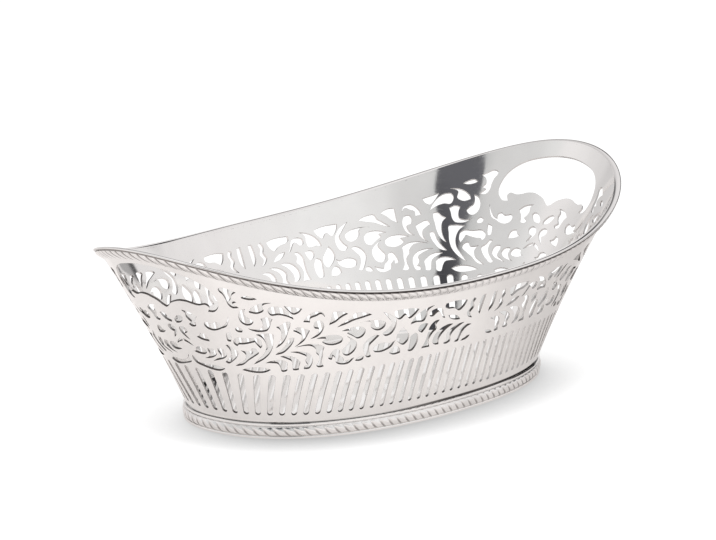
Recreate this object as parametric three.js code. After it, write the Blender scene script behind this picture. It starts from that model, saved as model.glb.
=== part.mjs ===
// Pierced oval bread basket of sheet silver, in millimetres, +Z up.
// The origin is the middle of the oval that the foot stands on. +X runs along the basket to one
// handle, +Y across it. The four quarters of the pierced wall are mirror images of each other.

import * as THREE from 'three';

// Driving dimensions
const RIM_HALF_LENGTH = 145.6;
const RIM_HALF_WIDTH = 73.8;
const RIM_HEIGHT_AT_ENDS = 85.4;
const RIM_HEIGHT_AT_SIDES = 62;
const RIM_SHEER = 2.67;
const RIM_SQUARENESS = 2.11;
const BASE_HALF_LENGTH = 92.9;
const BASE_HALF_WIDTH = 52;
const BASE_SQUARENESS = 2.24;
const WALL_THICKNESS = 1.1;
const WALL_HOLLOW_AT_ENDS = 0.12;
const WALL_HOLLOW_AT_SIDES = 0.23;
const FLOOR_THICKNESS = 1;
const JOINT_GAP = 0.2;

// Rim border: a smooth bead on the wall's edge and a roped wire under it, widest near its top
const BEAD_HEIGHT = 1.1;
const BEAD_WIDTH = 3.2;
const BEAD_CHAMFER = 0.3;
const RIM_ROPE_HEIGHT = 4.2;
const RIM_ROPE_DEPTH = 2.1;
const RIM_ROPE_WIDEST = 1.2;

// Foot: a flat ring on the table, a roped wire and a collar with a ledge for the floor
const FOOT_RING_HEIGHT = 1.1;
const FOOT_RING_WIDTH = 3.4;
const FOOT_ROPE_HEIGHT = 3.7;
const FOOT_ROPE_DEPTH = 2.6;
const COLLAR_HEIGHT = 1.1;
const COLLAR_PROUD = 0.9;
const COLLAR_LEDGE = 4;

// Row of upright slots round the foot of the wall
const SLOT_COUNT = 98;
const SLOT_WIDTH = 2.4;
const SLOT_BOTTOM = 10;
const SLOT_TOP = 30;
const SLOT_END_ROUND = 0.9;

// The ornament lies between a level line and a line below the rim
const ORNAMENT_BOTTOM = 32.8;
const ORNAMENT_TOP_SHARE = 0.84;
const PLAIN_CORNER = 0.34;
const FEWEST_CORNERS = 4;

// Fineness of the curved sheets
const RING_STEPS = 72;
const EDGE_STEP = 5;
const SMALL_STEP = 1e-3;
const FAN_TURN = 0.5;
const LENGTHS_PER_SLOT = 40;
const BORDER_MIDDLE = 2 / 3;

// Colour and polish of the silver
const WALL_SHADE = 0xe3dfdd;
const WALL_ROUGHNESS = 0.14;
const FLOOR_SHADE = 0xdedbd9;
const FLOOR_ROUGHNESS = 0.16;
const BEAD_SHADE = 0xeae7e5;
const BEAD_ROUGHNESS = 0.08;
const ROPE_SHADE = 0xd3cfcb;
const ROPE_ROUGHNESS = 0.2;
const FOOT_SHADE = 0xdad6d3;
const FOOT_ROUGHNESS = 0.13;

const FOOT_ROPE_BOTTOM = FOOT_RING_HEIGHT + JOINT_GAP;
const COLLAR_BOTTOM = FOOT_ROPE_BOTTOM + FOOT_ROPE_HEIGHT + JOINT_GAP;
const COLLAR_TOP = COLLAR_BOTTOM + COLLAR_HEIGHT;
const WALL_BOTTOM = COLLAR_TOP + JOINT_GAP;
const FULL_TURN = 2 * Math.PI;
const QUARTER_TURN = Math.PI / 2;

// Holes of one quarter of the ornament. Each outline is a list of corners: degrees round the
// oval from the handle, then per cent of the way up the ornament.
const HANDLE_OPENING_HALF = [
  [0, 64.6], [1.2, 66.4], [3.1, 70.7], [5.2, 73.5], [7.6, 75.9], [10, 76.6], [14.8, 75.2], [17.6, 77.7],
  [18.3, 75.6], [17.3, 69.5], [19.5, 70.7], [21, 75.6], [22, 84], [21.8, 92], [20.4, 101.5], [18, 107.3],
  [15, 110.6], [10, 112.5], [0, 113.7],
];

const QUARTER_ORNAMENT = {
  leafUnderCusp: [[5.3, 55.9], [4.6, 57], [3.1, 56], [1.7, 53], [0.8, 48.8], [1.1, 46.7], [2.8, 47.4],
    [4.6, 51]],
  endComma: [[4.7, 40.3], [3.8, 43], [2.3, 43], [0.9, 39.6], [0.9, 36], [2, 31.9], [4, 27.6], [3.1, 31.9],
    [2.5, 34.7], [3.8, 36]],
  endBlade: [[4.2, 20.5], [2.4, 23], [0.4, 25.6], [0.4, 28], [2.4, 25.4]],
  flame: [[11.9, 59.4], [9.6, 63.6], [6.4, 64.6], [7.5, 61.5], [7.2, 57.3], [8.6, 51], [7, 48], [8, 45.7],
    [9.6, 46.7], [10.3, 51.6], [10.9, 55.9]],
  bud: [[12.7, 29.8], [11.8, 38.2], [10.1, 39], [9.6, 36], [7.8, 33.3], [9.6, 30.7]],
  scrollUnderHandle: [[23.5, 68], [22.3, 60], [20.6, 53.6], [19.3, 51.4], [19.3, 56.6], [18.5, 57.3],
    [16.9, 54.4], [14.3, 54.4], [13.5, 51], [14.1, 46.7], [15.9, 44.9], [18, 46.7], [19.6, 49.5],
    [21.2, 52.3], [22.6, 59]],
  drop: [[22, 46], [20.6, 43.9], [20, 38.9], [20.1, 33.3], [20.9, 33.3], [21.6, 38.9]],
  dot: [[26.3, 51.6], [25.3, 54.9], [24.1, 51.6], [24.5, 48], [25.9, 48]],
  crescentOne: [[22, 20.6], [20.6, 24], [19.3, 28.4], [18.4, 27.6], [19.3, 22], [19, 15.7], [17.4, 10],
    [15.7, 5.8], [16.4, 4], [19, 7.9], [20.9, 13.5]],
  crescentTwo: [[17.4, 18], [16.5, 22.3], [14.8, 22.6], [14.4, 19.5], [14.8, 15], [14.9, 12], [13.3, 9.6],
    [10.6, 5.4], [13.4, 7.6], [15.8, 10.2], [17.1, 13.5]],
  crescentThree: [[13.4, 15], [12.5, 20], [10.3, 20.6], [10.1, 18.5], [10.3, 13.5], [9.6, 10.7],
    [7.2, 7.6], [9.8, 8.6], [12.2, 11.4]],
  lowLeaf: [[9.4, 16.4], [8.6, 19.9], [6.4, 20.9], [5, 19.2], [4.6, 15.7], [3.1, 14.2], [5.9, 12],
    [8.3, 12.8]],
  lowSlitOne: [[30.8, -3], [29.9, -1.4], [22.5, -1.5], [21, -3.3], [22.5, -4.9], [29.9, -4.9]],
  lowSlitTwo: [[14.3, -3], [13.3, -1.4], [4.5, 1], [2.6, 3.4], [1.2, 8.4], [0.6, 7], [1.2, 0],
    [4.5, -3.4], [13.3, -4.9]],
  flag: [[28.7, 105], [27.3, 106.5], [24.8, 107], [23.9, 104.5], [23.9, 101], [24.5, 98.2], [24.9, 92.5],
    [25.1, 84], [25.9, 81], [27.9, 83], [26.3, 87], [27.7, 90.4], [26.7, 94.6], [27.1, 98.9]],
  lens: [[33.8, 101], [32.1, 102.8], [30.5, 102], [29.5, 98.4], [30.5, 97.4], [32.1, 98]],
  longComma: [[37.2, 99], [34.1, 94.4], [32.2, 88.9], [30.6, 81.8], [30.3, 78.6], [32.6, 78.6],
    [34.4, 83.9], [34.6, 92]],
  horn: [[29.5, 83], [28.3, 80.4], [27.1, 74], [26.6, 67], [27, 61], [28.4, 58.7], [29.7, 61], [30.5, 65],
    [29.9, 69], [28.8, 72], [28.8, 76.5]],
  swan: [[36.1, 73], [34.4, 74.7], [32.9, 71.4], [33.1, 66], [32.4, 58], [30.4, 54.4], [28.2, 54.6],
    [29.6, 51.8], [31.7, 51.6], [33.6, 54.3], [34.6, 59.8], [35.4, 67.5]],
  bracket: [[30.8, 34.7], [30.8, 39], [29.8, 41.7], [26.9, 40.3], [23.2, 39], [22, 35.4], [21.7, 31],
    [22.5, 28], [23.3, 30.5], [24.5, 31], [26.9, 33.3], [28.8, 36], [29.2, 31.9], [29.9, 27.6],
    [30.5, 30.5]],
  tailedLeaf: [[28.8, 20.6], [28.4, 26.2], [27.3, 27], [26.3, 22.7], [24.3, 22], [23.1, 22.7],
    [24.3, 15.7], [23.5, 10.7], [21.2, 5.6], [19, 1.6], [21.7, 3], [24.8, 10.2], [26.9, 15]],
  acanthus: [[34.9, 50], [33.4, 50], [29.9, 46.8], [31.4, 43], [31.9, 37.5], [31.8, 30.5], [30.8, 22],
    [29.1, 15.4], [25.9, 4.6], [29.6, 11.6], [32.2, 20.6], [33.5, 29], [34.4, 40.3]],
  fatArch: [[41.6, 76.4], [40.9, 86.2], [39.7, 92.4], [38.2, 94], [36.5, 91.6], [35.8, 87.7],
    [36.1, 78.6], [38, 81], [39.7, 80.4]],
  curlLeaf: [[40.4, 71.5], [39.2, 70.5], [37.7, 64.5], [36.4, 61.5], [37.3, 57], [37.1, 48], [36.1, 38],
    [34.5, 29], [36.7, 36], [38.3, 46], [39.4, 57], [40.2, 65]],
  thinStem: [[40.4, 46], [39.5, 46], [37.5, 33.6], [35.8, 26], [33.7, 18.8], [36.1, 21.6], [38.1, 29],
    [39.8, 39]],
  flatComma: [[44.9, 59], [43.8, 61.6], [41.7, 62.9], [40.6, 57], [41.7, 54.3], [42.5, 50.5],
    [42.2, 43.4], [39.8, 31.4], [42.9, 42.6], [44, 51]],
  goose: [[48.2, 77.5], [46.9, 76], [46.1, 68], [46.3, 63.5], [47.3, 62], [46.8, 56], [44.5, 45],
    [46.7, 50.5], [48.2, 61], [48.7, 71]],
  hoop: [[49.3, 84.5], [48.9, 92.5], [47.2, 92.6], [45.3, 84.4], [43.8, 73.4], [45.4, 73.4], [45.7, 79.6],
    [47.3, 85.2], [48.5, 89.6]],
  capOne: [[44.4, 96.3], [40.1, 97], [40.9, 89.3], [42.1, 84.6], [43.1, 87.7]],
  hookOne: [[47.6, 30.3], [46.5, 35], [43.3, 35.7], [40.1, 31], [45, 30.4], [45.4, 26], [45.2, 21],
    [45.8, 15.6], [45.4, 7.5], [44.5, -1], [44.9, -3], [46.4, -2.3], [46.1, 5.4], [46.8, 16.3],
    [47.1, 24]],
  hookTwo: [[38.2, 23.3], [40.9, 24], [43.1, 20.7], [43.9, 13.2], [43.3, 2.3], [42.2, -3.9], [40.8, -3.9],
    [41.2, 0.8], [42.2, 2.3], [41.8, 9.3], [42.4, 14.8], [41.4, 19]],
  hookThree: [[34.9, 16.3], [37.2, 17.6], [39.5, 12.6], [40.2, 7], [39.6, 0.8], [39.2, -4.7],
    [37.7, -4.7], [37.8, 2.3], [37.9, 8.5], [36.7, 12.8]],
  hookFour: [[29.9, 6.7], [32.4, 10.4], [34.9, 11], [36.5, 7], [36.1, 0.8], [35.6, -5.4], [34.3, -6.4],
    [34, 0.8], [33.6, 5.4], [31.9, 6.8]],
  topComma: [[54.8, 92], [53.3, 96], [51.4, 94.4], [51, 87.7], [50.6, 80], [49.9, 70], [51.7, 76.4],
    [53, 84]],
  bigComma: [[60.3, 90], [58.1, 94.7], [56.2, 91.8], [55.5, 84.6], [54.3, 78.8], [51.8, 66.5], [54, 72],
    [55.8, 78.4], [57.7, 83]],
  bladeComma: [[52.7, 44.3], [51.9, 50.5], [49.4, 51.4], [46.1, 45.6], [48.5, 45.6], [47.3, 39.6],
    [48.3, 35], [51.1, 35], [52.3, 39]],
  blob: [[58.5, 59], [57.8, 65.4], [56, 66.2], [52.7, 59], [54.6, 59.6], [53.9, 54.6], [55.1, 49.4],
    [56.7, 43.6], [57.7, 47.4], [58.3, 53]],
  seedLeaf: [[53.8, 48.9], [54.5, 41], [53.3, 31.8], [52.1, 24], [52.3, 14.8], [53.1, 12.4], [54.8, 17.9],
    [55.8, 27.2], [56, 35], [55.2, 42.7]],
  crook: [[51.4, 24], [50.4, 26.4], [49, 19.4], [48.1, 10], [48.9, 7.8], [49.4, 14], [50, 10],
    [49.9, 2.3], [51.1, -2.3], [53.3, -1.5], [54.9, 8], [53.4, 4.6], [52, 3], [52, 8.5], [51.1, 14.8]],
  seed: [[57.4, 7], [56.4, 8.8], [55, 1.6], [56.5, 0.6], [57.2, 3]],
  scythe: [[61.8, 46], [60.7, 47.4], [59.1, 41.6], [57.6, 30], [57.5, 18], [58.7, 4.4], [59.3, 6],
    [58.9, 18], [59.2, 28], [60.4, 36.6]],
  wheelComma: [[63.5, 70], [62.6, 76], [60.5, 78], [57.1, 74], [59.9, 73.4], [59.8, 66], [60.7, 58.4],
    [62, 57], [63.1, 62.6]],
  longCrescent: [[63, 93.6], [64.2, 80], [64.9, 70], [64.1, 60], [62.6, 50], [63.3, 43.6], [64.8, 47],
    [65.7, 56.6], [66.1, 70], [65.4, 82]],
  capTwo: [[71.5, 93.4], [70.7, 95.4], [65.6, 94.6], [65.6, 88], [67, 75.6], [68.3, 84], [69.3, 75],
    [70.6, 83]],
  beanPod: [[65.8, 32], [64.6, 27.5], [63.4, 29.6], [61.5, 28.4], [60.1, 22.4], [60.1, 15.4],
    [61.5, 11.6], [63.2, 13.6], [64.8, 20]],
  pebble: [[67, 12], [66, 19.6], [64.8, 15], [64.2, 6.6], [65.4, 2], [67.1, 3.6]],
  plume: [[67.8, 58], [68.9, 46], [69.4, 38], [69.1, 27], [68.2, 20], [66.6, 27], [66.1, 38], [66.7, 49]],
  grassBlade: [[71.2, 41], [71.8, 33], [71.6, 16], [70.3, 3], [69.4, 4], [69.4, 20], [69.9, 36]],
  smallDrop: [[74.2, 57], [73.2, 59], [72, 55.6], [71.7, 48], [72.8, 39], [73.5, 46]],
  longStem: [[77.2, 61], [76.4, 51], [76.7, 42], [75.9, 35], [75, 22], [75.3, 4], [73, 4], [74, 20],
    [74.4, 34], [74.8, 50], [75.9, 60]],
  fanOne: [[81.3, 45], [79.6, 46], [77.5, 38], [76.2, 24], [76.1, 12], [76.9, 6], [78, 5], [77.8, 14],
    [78.4, 26], [79.4, 35]],
  fanTwo: [[84.6, 42.5], [83, 42], [81.2, 36], [79.9, 25], [80, 12], [79.4, 4.4], [80.2, 2], [81.4, 6],
    [81.3, 18], [82, 29], [83.2, 36]],
  fanThree: [[87, 34], [85.4, 36], [84, 31], [83.2, 20], [83.2, 10], [82.8, 2], [84, 1.4], [84.4, 12],
    [84.8, 22], [85.6, 29]],
  fanFour: [[87.5, 9], [87, 3.4], [85.8, 0], [84.8, 0.4], [85.4, 4.4], [86.4, 8]],
  littleArch: [[78.6, 63], [77.9, 72], [77.5, 84], [75.8, 88.4], [74.5, 83], [74.3, 75], [75.2, 72],
    [75.9, 77], [76.6, 80.6], [77.3, 74], [78, 65]],
  fatComma: [[75.3, 97], [73.4, 92.6], [71.3, 82], [70.1, 71], [69.6, 61.4], [70.9, 64.4], [73.1, 66],
    [73.6, 76], [73.7, 86]],
  capThree: [[83.9, 93.6], [82.6, 96.4], [78.2, 95.5], [78.1, 88], [79, 83], [80.6, 81], [82.4, 73.6],
    [83.3, 81]],
  midLeaf: [[83, 52], [81.4, 54], [80, 60], [79.4, 67], [80.8, 66], [82.2, 60]],
  sideCrescent: [[86.3, 92], [85.9, 84], [86.3, 73], [85.6, 62], [86.6, 49], [85.2, 55], [84.6, 64],
    [85.2, 74], [84.9, 86], [85.5, 96]],
  sideSlit: [[88.9, 97], [88.9, 78], [88.7, 53], [88, 60], [87.9, 96]],
};

// Plan of an oval between an ellipse and a rectangle
function ovalPoint(halfLength, halfWidth, squareness, angle) {
  const c = Math.cos(angle);
  const s = Math.sin(angle);
  const reach = (Math.abs(c) ** squareness + Math.abs(s) ** squareness) ** (-1 / squareness);
  return new THREE.Vector2(halfLength * c * reach, halfWidth * s * reach);
}

function basePlan(angle, inset) {
  return ovalPoint(BASE_HALF_LENGTH - inset, BASE_HALF_WIDTH - inset, BASE_SQUARENESS, angle);
}

function rimPlan(angle, inset) {
  return ovalPoint(RIM_HALF_LENGTH - inset, RIM_HALF_WIDTH - inset, RIM_SQUARENESS, angle);
}

function rimHeight(angle) {
  const rise = RIM_HEIGHT_AT_ENDS - RIM_HEIGHT_AT_SIDES;
  return RIM_HEIGHT_AT_SIDES + rise * Math.abs(Math.cos(angle)) ** RIM_SHEER;
}

// Top of the wall sheet, which carries the bead
function wallTop(angle) {
  return rimHeight(angle) - BEAD_HEIGHT - JOINT_GAP;
}

// Share of the way up the flared face from the wall's foot to the rim
function shareAtHeight(angle, height) {
  return (height - WALL_BOTTOM) / (rimHeight(angle) - WALL_BOTTOM);
}

// Point of the flared face, moved level towards the inside by inset
function wallPoint(angle, share, inset) {
  const ends = Math.cos(angle) ** 2;
  const hollow = WALL_HOLLOW_AT_SIDES + (WALL_HOLLOW_AT_ENDS - WALL_HOLLOW_AT_SIDES) * ends;
  const spread = share + hollow * (share * share - share);
  const rimInset = inset + RIM_ROPE_DEPTH;
  const plan = basePlan(angle, inset).lerp(rimPlan(angle, rimInset), spread);
  const height = WALL_BOTTOM + (rimHeight(angle) - WALL_BOTTOM) * share;
  return new THREE.Vector3(plan.x, plan.y, height);
}

function geometryOf(points, faces) {
  const geometry = new THREE.BufferGeometry();
  geometry.setAttribute('position', new THREE.Float32BufferAttribute(points.flatMap((p) => p.toArray()), 3));
  geometry.setIndex(faces);
  return geometry;
}

// Closed ring whose section at each angle is a list of points, counter-clockwise seen along
// the way that the angle grows
function ring(sectionAt) {
  const points = [];
  const faces = [];
  for (let step = 0; step < RING_STEPS; step++) {
    points.push(...sectionAt((step / RING_STEPS) * FULL_TURN));
  }
  const corners = points.length / RING_STEPS;
  for (let step = 0; step < RING_STEPS; step++) {
    const here = step * corners;
    const next = ((step + 1) % RING_STEPS) * corners;
    for (let corner = 0; corner < corners; corner++) {
      const after = (corner + 1) % corners;
      faces.push(here + corner, next + corner, here + after);
      faces.push(here + after, next + corner, next + after);
    }
  }
  return geometryOf(points, faces);
}

// Section point round the foot: inset from the base oval, at a height
function footPoint(angle, inset, height) {
  const plan = basePlan(angle, inset);
  return new THREE.Vector3(plan.x, plan.y, height);
}

// Leaves out corners that stand less than a distance off the line past them
function plainer(outline, least) {
  const kept = [...outline];
  const place = ([angle, share]) => wallPoint(angle, share, 0);
  const offLine = (corner) => {
    const count = kept.length;
    const before = place(kept[(corner + count - 1) % count]);
    const after = place(kept[(corner + 1) % count]);
    const nearest = new THREE.Vector3();
    new THREE.Line3(before, after).closestPointToPoint(place(kept[corner]), true, nearest);
    return nearest.distanceTo(place(kept[corner]));
  };
  for (;;) {
    const distances = kept.map((_, corner) => offLine(corner));
    const smallest = Math.min(...distances);
    if (smallest >= least || kept.length <= FEWEST_CORNERS) return kept;
    kept.splice(distances.indexOf(smallest), 1);
  }
}

// From degrees and per cent of one quarter to an angle and a share of the wall
function ornamentCorner([degrees, percent]) {
  const angle = THREE.MathUtils.degToRad(degrees);
  const bottom = shareAtHeight(angle, ORNAMENT_BOTTOM);
  return [angle, bottom + ((ORNAMENT_TOP_SHARE - bottom) * percent) / 100];
}

// Outlines of the ornament's holes to both sides of a handle
function ornamentHoles(towards) {
  const holes = [];
  for (const outline of Object.values(QUARTER_ORNAMENT)) {
    const corners = plainer(outline.map(ornamentCorner), PLAIN_CORNER);
    holes.push(corners.map(([angle, share]) => [towards + angle, share]));
    holes.push(corners.map(([angle, share]) => [towards - angle, share]));
  }
  return holes;
}

function handleHole(towards) {
  const half = HANDLE_OPENING_HALF.map(ornamentCorner);
  const mirrored = half.slice(1, -1).reverse().map(([angle, share]) => [-angle, share]);
  const outline = plainer([...half, ...mirrored], PLAIN_CORNER);
  return outline.map(([angle, share]) => [towards + angle, share]);
}

// Angles of the slots, evenly spaced along the base, the first at the handle
function slotAngles() {
  const fine = SLOT_COUNT * LENGTHS_PER_SLOT;
  const lengths = [0];
  for (let step = 1; step <= fine; step++) {
    const before = basePlan(((step - 1) / fine) * FULL_TURN, 0);
    const here = basePlan((step / fine) * FULL_TURN, 0);
    lengths.push(lengths[step - 1] + here.distanceTo(before));
  }
  const angles = [];
  for (let slot = 0; slot < SLOT_COUNT; slot++) {
    const wanted = (slot / SLOT_COUNT) * lengths[fine];
    const step = lengths.findIndex((length) => length >= wanted);
    angles.push((step / fine) * FULL_TURN);
  }
  return angles;
}

// A slot stands square to the base, so it leans in the wall where the flare does
function slotHole(angle) {
  const middle = shareAtHeight(angle, (SLOT_BOTTOM + SLOT_TOP) / 2);
  const here = wallPoint(angle, middle, 0);
  const along = wallPoint(angle + SMALL_STEP, middle, 0).sub(here).divideScalar(SMALL_STEP);
  const up = wallPoint(angle, middle + SMALL_STEP, 0).sub(here).divideScalar(SMALL_STEP);
  const lean = -up.dot(along) / along.lengthSq();
  const halfTurn = SLOT_WIDTH / 2 / along.length();
  const corner = (side, height) => {
    const share = shareAtHeight(angle, height);
    return [angle + side * halfTurn + lean * (share - shareAtHeight(angle, SLOT_BOTTOM)), share];
  };
  return [
    corner(0, SLOT_BOTTOM),
    corner(1, SLOT_BOTTOM + SLOT_END_ROUND),
    corner(1, SLOT_TOP - SLOT_END_ROUND),
    corner(0, SLOT_TOP),
    corner(-1, SLOT_TOP - SLOT_END_ROUND),
    corner(-1, SLOT_BOTTOM + SLOT_END_ROUND),
  ];
}

// Swaps the shared side of two triangles wherever that makes them less slender, so that the
// triangles stay short and follow the curve of the sheet
function evenOut(points, faces, fixedSides) {
  const sideName = (a, b) => (a < b ? `${a} ${b}` : `${b} ${a}`);
  const owners = new Map();
  const own = (face) => faces[face].forEach((a, i) => {
    const name = sideName(a, faces[face][(i + 1) % 3]);
    owners.set(name, [...(owners.get(name) ?? []), face]);
  });
  const disown = (face) => faces[face].forEach((a, i) => {
    const name = sideName(a, faces[face][(i + 1) % 3]);
    owners.set(name, owners.get(name).filter((owner) => owner !== face));
  });
  faces.forEach((_, face) => own(face));
  const angleAt = (tip, a, b) => {
    const toA = points[a].clone().sub(points[tip]);
    const toB = points[b].clone().sub(points[tip]);
    return Math.atan2(Math.abs(toA.cross(toB)), toA.dot(toB));
  };
  const waiting = [...owners.keys()];
  while (waiting.length > 0) {
    const name = waiting.pop();
    const pair = owners.get(name);
    if (fixedSides.has(name) || pair.length < 2) continue;
    const [first, second] = pair;
    const [a, b] = name.split(' ').map(Number);
    const tip = faces[first].find((corner) => corner !== a && corner !== b);
    const otherTip = faces[second].find((corner) => corner !== a && corner !== b);
    if (angleAt(tip, a, b) + angleAt(otherTip, a, b) <= Math.PI + SMALL_STEP) continue;
    const start = faces[first][(faces[first].indexOf(tip) + 1) % 3];
    const end = start === a ? b : a;
    disown(first);
    disown(second);
    faces[first] = [tip, start, otherTip];
    faces[second] = [otherTip, end, tip];
    own(first);
    own(second);
    waiting.push(sideName(tip, start), sideName(start, otherTip));
    waiting.push(sideName(otherTip, end), sideName(end, tip));
  }
}

// Place in the flared wall laid flat, where it is a piece of a fan
function flatten([angle, share]) {
  const girth = THREE.MathUtils.lerp(
    BASE_HALF_LENGTH + BASE_HALF_WIDTH,
    RIM_HALF_LENGTH + RIM_HALF_WIDTH,
    share,
  );
  const turn = angle * FAN_TURN;
  return new THREE.Vector2(Math.sin(turn), Math.cos(turn)).multiplyScalar(girth / 2 / FAN_TURN);
}

// Curved sheet with holes. Loops and loose points are lists of [angle, share of the way up];
// the loose points only help the sheet to follow its curve.
function piercedSheet(edge, holes, loosePoints) {
  const direct = (loop, clockwise) => {
    const turned = THREE.ShapeUtils.isClockWise(loop.map(flatten)) !== clockwise;
    return turned ? [...loop].reverse() : loop;
  };
  const loops = [direct(edge, false), ...holes.map((hole) => direct(hole, true))];
  const places = [...loops.flat(), ...loosePoints];
  const points = places.map(flatten);
  const flatLoops = loops.map((loop) => loop.map(flatten));
  const flatLoose = loosePoints.map((place) => [flatten(place)]);
  const faces = THREE.ShapeUtils.triangulateShape(flatLoops[0], [...flatLoops.slice(1), ...flatLoose]);
  const sides = [];
  let start = 0;
  for (const loop of loops) {
    loop.forEach((_, i) => sides.push([start + i, start + ((i + 1) % loop.length)]));
    start += loop.length;
  }
  evenOut(points, faces, new Set(sides.map(([a, b]) => (a < b ? `${a} ${b}` : `${b} ${a}`))));
  const outer = places.map(([angle, share]) => wallPoint(angle, share, 0));
  const inner = places.map(([angle, share]) => wallPoint(angle, share, WALL_THICKNESS));
  const count = places.length;
  const bodyFaces = [];
  for (const [a, b, c] of faces) {
    bodyFaces.push(a, b, c);
    bodyFaces.push(count + a, count + c, count + b);
  }
  for (const [a, b] of sides) {
    bodyFaces.push(b, a, count + a);
    bodyFaces.push(b, count + a, count + b);
  }
  return geometryOf([...outer, ...inner], bodyFaces);
}

// Half of the wall, a quarter turn to each side of its handle, with a seam at each long side
function halfWall(towards) {
  const seam = JOINT_GAP / 2 / RIM_HALF_LENGTH;
  const reach = QUARTER_TURN - seam;
  const steps = Math.round((2 * reach) / THREE.MathUtils.degToRad(EDGE_STEP));
  const angleAt = (_, step) => towards - reach + (step / steps) * 2 * reach;
  const angles = Array.from({ length: steps + 1 }, angleAt);
  const topShare = (angle) => shareAtHeight(angle, wallTop(angle));
  const bottomEdge = angles.map((angle) => [angle, 0]);
  const topEdge = angles.map((angle) => [angle, topShare(angle)]).reverse();
  const borderShare = (angle) => {
    return THREE.MathUtils.lerp(ORNAMENT_TOP_SHARE, topShare(angle), BORDER_MIDDLE);
  };
  const borderPoints = angles.slice(1, -1).map((angle) => [angle, borderShare(angle)]);
  const nearHalf = (angle) => Math.cos(angle - towards) > 0;
  const turnTo = (angle) => towards + Math.atan2(Math.sin(angle - towards), Math.cos(angle - towards));
  const slots = slotAngles().filter(nearHalf).map((angle) => slotHole(turnTo(angle)));
  const holes = [...slots, ...ornamentHoles(towards), handleHole(towards)];
  return piercedSheet([...bottomEdge, ...topEdge], holes, borderPoints);
}

// Section point of the rim border: outwards from the wall's outer face and down from the rim
function rimPoint(angle, out, down) {
  const share = shareAtHeight(angle, rimHeight(angle) - down);
  return wallPoint(angle, share, -out);
}

function rimBead() {
  const outer = BEAD_WIDTH - WALL_THICKNESS;
  return ring((angle) => [
    rimPoint(angle, -WALL_THICKNESS, 0),
    rimPoint(angle, -WALL_THICKNESS, BEAD_HEIGHT),
    rimPoint(angle, outer, BEAD_HEIGHT),
    rimPoint(angle, outer, BEAD_CHAMFER),
    rimPoint(angle, outer - BEAD_CHAMFER, 0),
  ]);
}

function rimRope() {
  const top = BEAD_HEIGHT + JOINT_GAP;
  const slope = RIM_ROPE_DEPTH / 2;
  return ring((angle) => [
    rimPoint(angle, JOINT_GAP, top),
    rimPoint(angle, JOINT_GAP, top + RIM_ROPE_HEIGHT),
    rimPoint(angle, slope, top + RIM_ROPE_HEIGHT),
    rimPoint(angle, RIM_ROPE_DEPTH, top + RIM_ROPE_WIDEST),
    rimPoint(angle, slope, top),
  ]);
}

function footCollar() {
  return ring((angle) => [
    footPoint(angle, COLLAR_LEDGE, COLLAR_TOP),
    footPoint(angle, COLLAR_LEDGE, COLLAR_BOTTOM),
    footPoint(angle, -COLLAR_PROUD, COLLAR_BOTTOM),
    footPoint(angle, -COLLAR_PROUD, COLLAR_TOP),
  ]);
}

function footRope() {
  const bulge = FOOT_ROPE_DEPTH / 2;
  const top = FOOT_ROPE_BOTTOM + FOOT_ROPE_HEIGHT;
  return ring((angle) => [
    footPoint(angle, bulge, top),
    footPoint(angle, bulge, FOOT_ROPE_BOTTOM),
    footPoint(angle, 0, FOOT_ROPE_BOTTOM),
    footPoint(angle, -bulge, (FOOT_ROPE_BOTTOM + top) / 2),
    footPoint(angle, 0, top),
  ]);
}

function footRing() {
  const outer = -COLLAR_PROUD;
  const inner = FOOT_RING_WIDTH - COLLAR_PROUD;
  return ring((angle) => [
    footPoint(angle, inner, FOOT_RING_HEIGHT),
    footPoint(angle, inner, 0),
    footPoint(angle, outer, 0),
    footPoint(angle, outer, FOOT_RING_HEIGHT),
  ]);
}

// Oval sheet on the collar's ledge, inside the wall
function floorPlate() {
  const inset = WALL_THICKNESS + JOINT_GAP;
  const outline = new THREE.Shape();
  for (let step = 0; step < RING_STEPS; step++) {
    const plan = basePlan((step / RING_STEPS) * FULL_TURN, inset);
    if (step === 0) outline.moveTo(plan.x, plan.y);
    else outline.lineTo(plan.x, plan.y);
  }
  outline.closePath();
  return new THREE.ExtrudeGeometry(outline, { depth: FLOOR_THICKNESS, bevelEnabled: false });
}

function silver(shade, roughness) {
  return new THREE.MeshStandardMaterial({ color: shade, roughness, metalness: 1 });
}

function wallSilver() {
  return silver(WALL_SHADE, WALL_ROUGHNESS);
}

function floorSilver() {
  return silver(FLOOR_SHADE, FLOOR_ROUGHNESS);
}

function beadSilver() {
  return silver(BEAD_SHADE, BEAD_ROUGHNESS);
}

function ropeSilver() {
  return silver(ROPE_SHADE, ROPE_ROUGHNESS);
}

function footSilver() {
  return silver(FOOT_SHADE, FOOT_ROUGHNESS);
}

const basket = new THREE.Group();

function addPiece(name, geometry, material, lift = 0) {
  const piece = new THREE.Mesh(geometry, material);
  piece.name = name;
  piece.position.z = lift;
  basket.add(piece);
}

addPiece('wall_right', halfWall(0), wallSilver());
addPiece('wall_left', halfWall(Math.PI), wallSilver());
addPiece('floor_plate', floorPlate(), floorSilver(), WALL_BOTTOM);
addPiece('rim_bead', rimBead(), beadSilver());
addPiece('rim_rope', rimRope(), ropeSilver());
addPiece('foot_collar', footCollar(), footSilver());
addPiece('foot_rope', footRope(), ropeSilver());
addPiece('foot_ring', footRing(), footSilver());

export default basket;
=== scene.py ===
"""Looks for the pierced oval bread basket, in metres in the model's frame. Sizes are written in
millimetres. The pieces follow the surfaces of the solids more finely, and the wires of rim and
foot, which are plain bands in the solids, have their twist here."""

import math

import bpy
import numpy as np
from mathutils import Matrix, Vector
from mathutils.geometry import delaunay_2d_cdt
from mathutils.kdtree import KDTree


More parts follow.
